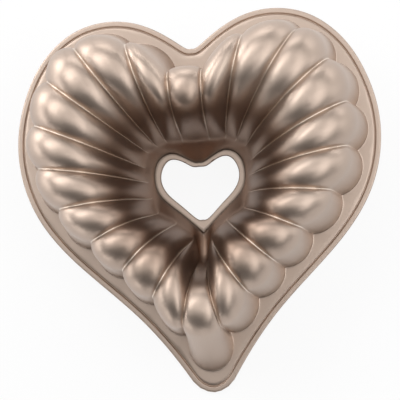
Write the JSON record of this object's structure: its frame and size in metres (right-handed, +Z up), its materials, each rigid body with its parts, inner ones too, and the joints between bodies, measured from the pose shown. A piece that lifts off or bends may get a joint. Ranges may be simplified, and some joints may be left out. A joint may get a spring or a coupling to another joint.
{
  "type": "heart shaped fluted tube pan",
  "caption": "Heart shaped cake pan cast in one piece, with rounded flutes, a fluted funnel round a heart shaped tube, and a flat rim with a bead.",
  "frame": {"origin": "middle of the rim's bounding box, in the plane that the rim rests on", "axes": "+X across the heart, +Y from its tip to its notch, +Z up from the rim to the tops of the flutes, with the open side down"},
  "size_m": [0.272, 0.2818, 0.088],
  "materials": {
    "coating": "satin bronze coloured non-stick coating on cast aluminium"
  },
  "bodies": {
    "root": {"pan": "coating"}
  },
  "joints": []
}
